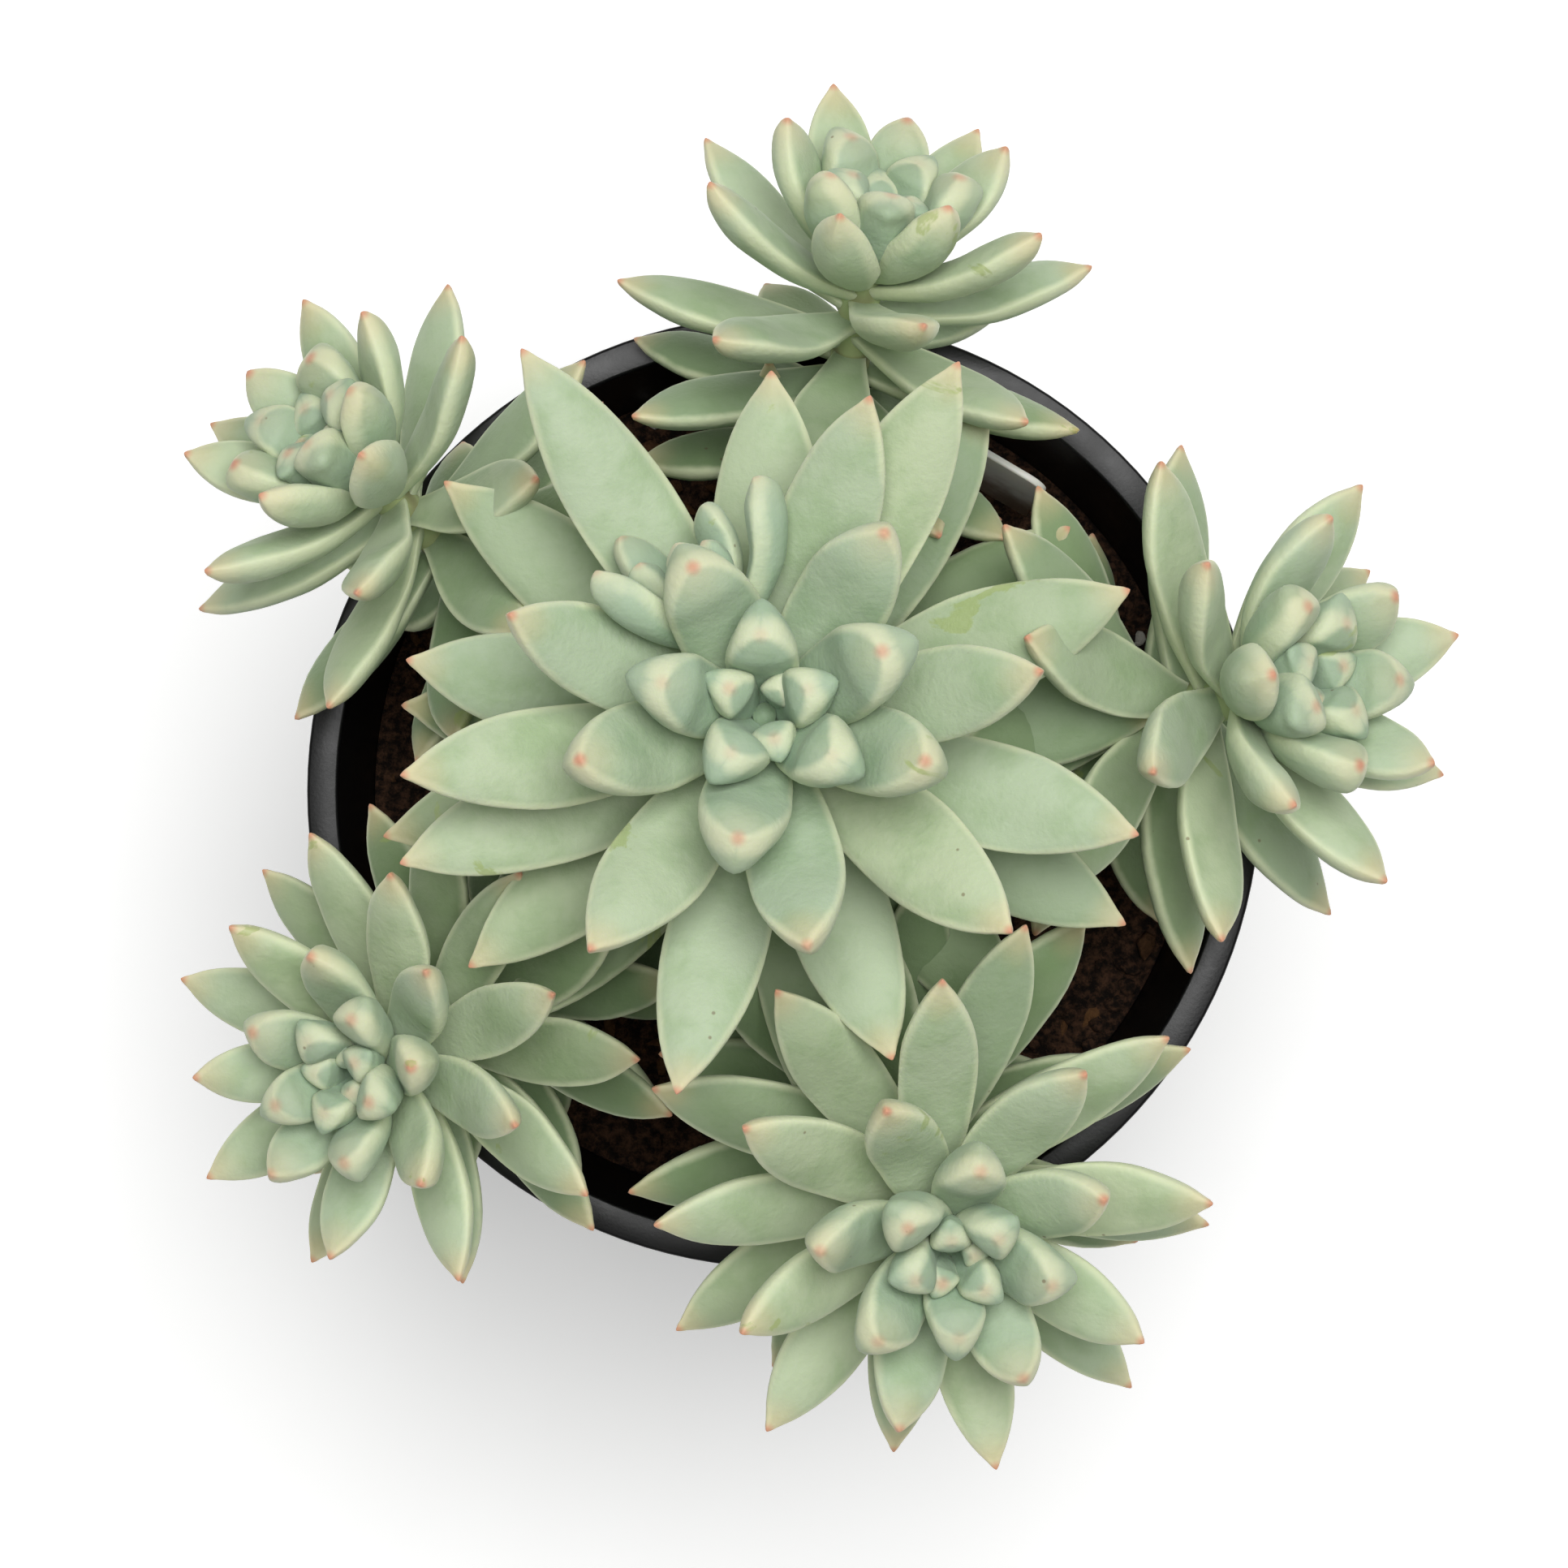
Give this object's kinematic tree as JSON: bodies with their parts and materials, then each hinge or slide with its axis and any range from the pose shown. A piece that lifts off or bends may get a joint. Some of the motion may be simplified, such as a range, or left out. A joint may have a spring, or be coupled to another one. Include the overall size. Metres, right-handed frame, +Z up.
{
  "type": "potted succulent",
  "caption": "Clumping succulent with rosettes of thick pointed pale green leaves on leaning stems, in a round black nursery pot with soil and a blank plant label.",
  "frame": {"origin": "centre of the flat underside of the pot", "axes": "+Z up, the tallest rosette above the origin, +X and +Y level, with the label towards +X +Y"},
  "size_m": [0.1346, 0.1448, 0.1523],
  "materials": {
    "young_leaf": "waxy bloom, matt",
    "grown_leaf": "waxy bloom with pink tips, matt",
    "stem_and_old_leaf": "matt",
    "soil": "coarse, damp",
    "pot": "moulded, semi-gloss",
    "plant_label": "satin"
  },
  "bodies": {
    "root": {"crown_bottom": "young_leaf", "crown_left": "young_leaf", "crown_lower_left": "young_leaf", "crown_main": "young_leaf", "crown_right": "young_leaf", "crown_top": "young_leaf", "leaf_bottom_13": "grown_leaf", "leaf_bottom_14": "grown_leaf", "leaf_bottom_15": "grown_leaf", "leaf_bottom_16": "grown_leaf", "leaf_bottom_17": "grown_leaf", "leaf_left_10": "grown_leaf", "leaf_left_11": "grown_leaf", "leaf_left_12": "grown_leaf", "leaf_left_13": "grown_leaf", "leaf_left_14": "grown_leaf", "leaf_lower_left_13": "grown_leaf", "leaf_lower_left_14": "grown_leaf", "leaf_lower_left_15": "grown_leaf", "leaf_lower_left_16": "grown_leaf", "leaf_lower_left_17": "grown_leaf", "leaf_main_12": "grown_leaf", "leaf_main_13": "grown_leaf", "leaf_main_14": "grown_leaf", "leaf_main_15": "grown_leaf", "leaf_main_16": "grown_leaf", "leaf_main_17": "grown_leaf", "leaf_main_18": "grown_leaf", "leaf_main_19": "grown_leaf", "leaf_main_20": "grown_leaf", "leaf_main_21": "grown_leaf", "leaf_main_22": "grown_leaf", "leaf_main_23": "grown_leaf", "leaf_main_24": "grown_leaf", "leaf_main_25": "grown_leaf", "leaf_main_26": "grown_leaf", "leaf_main_27": "grown_leaf", "leaf_main_28": "grown_leaf", "leaf_main_29": "grown_leaf", "leaf_main_30": "grown_leaf", "leaf_right_10": "grown_leaf", "leaf_right_11": "grown_leaf", "leaf_right_12": "grown_leaf", "leaf_right_13": "grown_leaf", "leaf_right_14": "grown_leaf", "leaf_top_10": "grown_leaf", "leaf_top_11": "grown_leaf", "leaf_top_12": "grown_leaf", "leaf_top_13": "grown_leaf", "leaf_top_14": "grown_leaf", "offset": "young_leaf", "plant_label": "plant_label", "pot": "pot", "soil": "soil", "stem_bottom": "stem_and_old_leaf", "stem_left": "stem_and_old_leaf", "stem_lower_left": "stem_and_old_leaf", "stem_main": "stem_and_old_leaf", "stem_right": "stem_and_old_leaf", "stem_top": "stem_and_old_leaf"}
  },
  "joints": []
}
